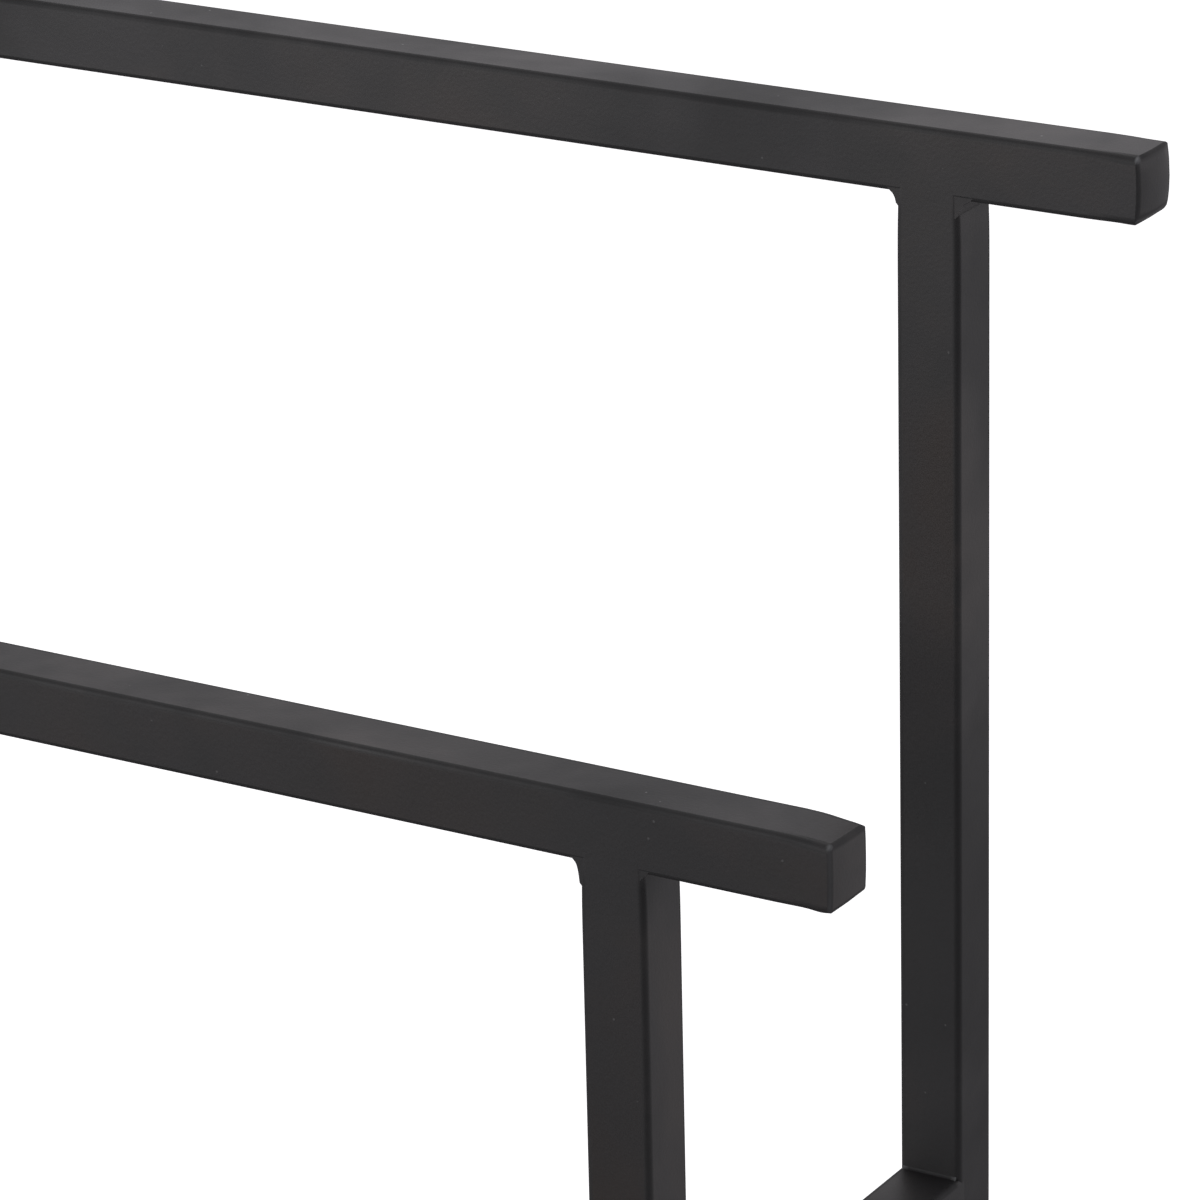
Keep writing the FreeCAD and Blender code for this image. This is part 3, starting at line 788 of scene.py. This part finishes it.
def makeStrap(node):
    low, high = (Vector(corner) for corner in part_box(node))
    bm = bmesh.new()
    along = bm.verts.layers.float.new("along")
    chain = [bm.verts.new((low.x, y, z)) for y, z in strapRoute()]
    for pair in zip(chain, chain[1:]):
        bm.edges.new(pair)
    bmesh.ops.bevel(bm, geom=chain[1:-1], offset=straps["wrap"], offset_type="OFFSET",
                    segments=straps["wrapSteps"], profile=0.5, affect="VERTICES", material=-1)
    for longer, cuts in ((2 * straps["tail"], straps["spanCuts"]), (straps["tail"] / 2, straps["tailCuts"])):
        runs = [e for e in bm.edges if e.calc_length() > longer]
        bmesh.ops.subdivide_edges(bm, edges=runs, cuts=cuts)
    vert = next(v for v in bm.verts if len(v.link_edges) == 1 and v.co.y < 0)
    walked, edge, length = {vert}, None, 0.0
    while True:
        vert[along] = length
        onward = [e for e in vert.link_edges if e.other_vert(vert) not in walked]
        if not onward:
            break
        length += onward[0].calc_length()
        vert = onward[0].other_vert(vert)
        walked.add(vert)
    row = bm.edges[:]
    for column in range(straps["columns"]):
        made = bmesh.ops.extrude_edge_only(bm, edges=row)["geom"]
        row = [g for g in made if isinstance(g, bmesh.types.BMEdge) and all(v in made for v in g.verts)]
        fresh = [g for g in made if isinstance(g, bmesh.types.BMVert)]
        bmesh.ops.translate(bm, vec=((high.x - low.x) / straps["columns"], 0, 0), verts=fresh)
        row = [e for e in row if abs(e.verts[0].co.x - e.verts[1].co.x) < 1e-6]
    for vert in bm.verts:
        if vert.co.z > frontHigh.z - straps["sagDepth"]:
            vert.co.z -= sagAt(vert.co.y, vert.co.x)
    bmesh.ops.recalc_face_normals(bm, faces=bm.faces)
    uv = bm.loops.layers.uv.new("strapUV")
    for face in bm.faces:
        for loop in face.loops:
            loop[uv].uv = (loop.vert.co.x - low.x, loop.vert[along])
    strap = finishPiece(camelName(node) + "Webbing", bm, bodyOf[node], slotOf[node], [node])
    strap.modifiers.remove(strap.modifiers["cornerNormals"])
    wall = strap.modifiers.new("webThickness", "SOLIDIFY")
    wall.thickness = straps["thick"]
    wall.offset = 0.0
    edgeRound = strap.modifiers.new("selvedge", "BEVEL")
    edgeRound.width = straps["selvedge"]
    edgeRound.segments = straps["selvedgeSteps"]
    edgeRound.limit_method = "ANGLE"
    edgeRound.angle_limit = straps["selvedgeAngle"]
    return strap, low, high, length


def stitchInto(bm, start, end):
    made = bmesh.ops.create_uvsphere(bm, u_segments=6, v_segments=4, radius=1.0)["verts"]
    along = end - start
    side = along.cross(unit[2]).normalized()
    radius = straps["threadRadius"]
    place = Matrix((side * radius, unit[2] * radius, along * 0.5)).transposed().to_4x4()
    place.translation = (start + end) / 2
    bmesh.ops.transform(bm, matrix=place, verts=made)


def seamInto(bm, corner, other, z):
    span = other - corner
    count = max(2, round(span.length / straps["stitchPitch"]))
    for index in range(count):
        middle = corner + span * ((index + 0.5) / count)
        half = span.normalized() * straps["stitch"] / 2
        ends = [middle - half, middle + half]
        for point in ends:
            point.z = z - sagAt(point.y, point.x)
        stitchInto(bm, *ends)


# box and cross seam on each doubled end, seen from above and below
def makeStitches(node, low, high, body):
    bm = bmesh.new()
    offMiddle = straps["gap"] + straps["thick"]
    fromTube, fromTail, fromSide = straps["seam"]
    for nearTube, inward in ((frontHigh.y, 1), (rearLow.y, -1)):
        y0 = nearTube + inward * fromTube
        y1 = nearTube + inward * (straps["tail"] - fromTail)
        x0, x1 = low.x + fromSide, high.x - fromSide
        a, b, c, d = (Vector((x, y, 0)) for x, y in ((x0, y0), (x1, y0), (x1, y1), (x0, y1)))
        for z in (frontHigh.z + offMiddle, frontHigh.z - offMiddle):
            for first, second in ((a, b), (b, c), (c, d), (d, a), (a, c), (b, d)):
                seamInto(bm, first, second, z)
    return finishPiece(camelName(node) + "Stitches", bm, body, "webbing", material=threadFinish)


for node in sorted(n for n in frame["nodes"] if n.startswith("strap_")):
    strap, low, high, length = makeStrap(node)
    stitches = makeStitches(node, low, high, bodyOf[node])
    print("strap", node, "length", round(length, 4))

print("stage: other CAD nodes")

for node, piece in frame["nodes"].items():
    piece.data.materials.clear()
    piece.data.materials.append(finishes[slotOf[node]])

print("stage: floor, light and camera")

# brightness of the white surround, of the dark side behind the camera, overhead and below, and where each begins
studio = {
    "floor": 0.86, "floorGlow": 0.62, "floorRough": 0.8, "floorSize": 30.0, "tint": (1.0, 0.972, 1.012),
    "surround": 0.82, "darkSide": 0.12, "overhead": 0.34, "below": 0.36, "darkSideAt": (0.45, -0.78, 0.44),
    "darkRange": (0.72, 0.95), "overheadRange": (0.45, 0.80), "belowRange": (-0.05, -0.5),
}
softboxes = {
    "frontSoftbox": {"place": (-2.2, -2.9, 1.25), "target": (0, 0.1, 0.6), "size": (2.2, 1.2), "power": 52.0},
    "topSoftbox": {"place": (-0.6, 1.2, 3.2), "target": (0, 0.1, 0.3), "size": (2.4, 2.0), "power": 16.0},
}


def makeFloor():
    bm = bmesh.new()
    bmesh.ops.create_grid(bm, x_segments=1, y_segments=1, size=studio["floorSize"])
    mesh = bpy.data.meshes.new("floor")
    bm.to_mesh(mesh)
    bm.free()
    floor = bpy.data.objects.new("floor", mesh)
    bpy.context.collection.objects.link(floor)
    pale = (studio["floor"], studio["floor"], studio["floor"], 1.0)
    material, _, _ = startMaterial("paleFloor", {
        "Roughness": studio["floorRough"], "Base Color": pale,
        "Emission Color": (1.0, 1.0, 1.0, 1.0), "Emission Strength": studio["floorGlow"]})
    mesh.materials.append(material)
    floor.visible_diffuse = False
    floor.visible_glossy = False


def makeWorld():
    world = bpy.data.worlds.new("studio")
    bpy.context.scene.world = world
    world.use_nodes = True
    tree = world.node_tree
    background = next(n for n in tree.nodes if n.type == "BACKGROUND")
    direction = tree.nodes.new("ShaderNodeTexCoord").outputs["Generated"]
    parts = tree.nodes.new("ShaderNodeSeparateXYZ")
    tree.links.new(direction, parts.inputs["Vector"])
    toDark = tree.nodes.new("ShaderNodeVectorMath")
    toDark.operation = "DOT_PRODUCT"
    tree.links.new(direction, toDark.inputs[0])
    toDark.inputs[1].default_value = Vector(studio["darkSideAt"]).normalized()
    dark = rangeNode(tree, toDark.outputs["Value"], *studio["darkRange"], 0.0, 1.0)
    high = rangeNode(tree, parts.outputs["Z"], *studio["overheadRange"], 0.0, 1.0)
    low = rangeNode(tree, parts.outputs["Z"], *studio["belowRange"], 0.0, 1.0)
    tones = [tuple(studio[key] * part for part in studio["tint"])
             for key in ("surround", "overhead", "below", "darkSide")]
    colour = mixColours(tree, high, tones[0], tones[1])
    colour = mixColours(tree, low, colour, tones[2])
    colour = mixColours(tree, dark, colour, tones[3])
    tree.links.new(colour, background.inputs["Color"])


def addSoftbox(name, place, target, size, power):
    lamp = bpy.data.lights.new(name, "AREA")
    lamp.shape = "RECTANGLE"
    lamp.size, lamp.size_y = size
    lamp.energy = power
    box = bpy.data.objects.new(name, lamp)
    box.location = place
    box.rotation_euler = (Vector(target) - Vector(place)).to_track_quat("-Z", "Y").to_euler()
    bpy.context.collection.objects.link(box)


# fromCorner: place from the upper rail's right front top corner, in metres; angles in degrees
camera = {
    "fromCorner": (0.7013, -1.43074, 0.46818), "yaw": 31.568, "pitch": 20.522, "roll": -1.341,
    "lens": 180.46, "sensor": 36.0, "clip": (0.05, 100.0),
}


def makeCamera():
    railLow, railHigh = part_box("upper_rail_end_plates")
    corner = Vector((railHigh[0], railLow[1], railHigh[2]))
    data = bpy.data.cameras.new("camera")
    data.lens = camera["lens"]
    data.sensor_width = camera["sensor"]
    data.clip_start, data.clip_end = camera["clip"]
    view = bpy.data.objects.new("camera", data)
    turn = Matrix.Rotation(math.radians(camera["yaw"]), 4, "Z")
    tilt = Matrix.Rotation(math.radians(90 - camera["pitch"]), 4, "X")
    roll = Matrix.Rotation(math.radians(camera["roll"]), 4, "Z")
    view.matrix_world = Matrix.Translation(corner + Vector(camera["fromCorner"])) @ turn @ tilt @ roll
    bpy.context.collection.objects.link(view)
    bpy.context.scene.camera = view


makeFloor()
makeWorld()
for name, box in softboxes.items():
    addSoftbox(name, box["place"], box["target"], box["size"], box["power"])
makeCamera()
bpy.context.scene.view_settings.view_transform = "Standard"
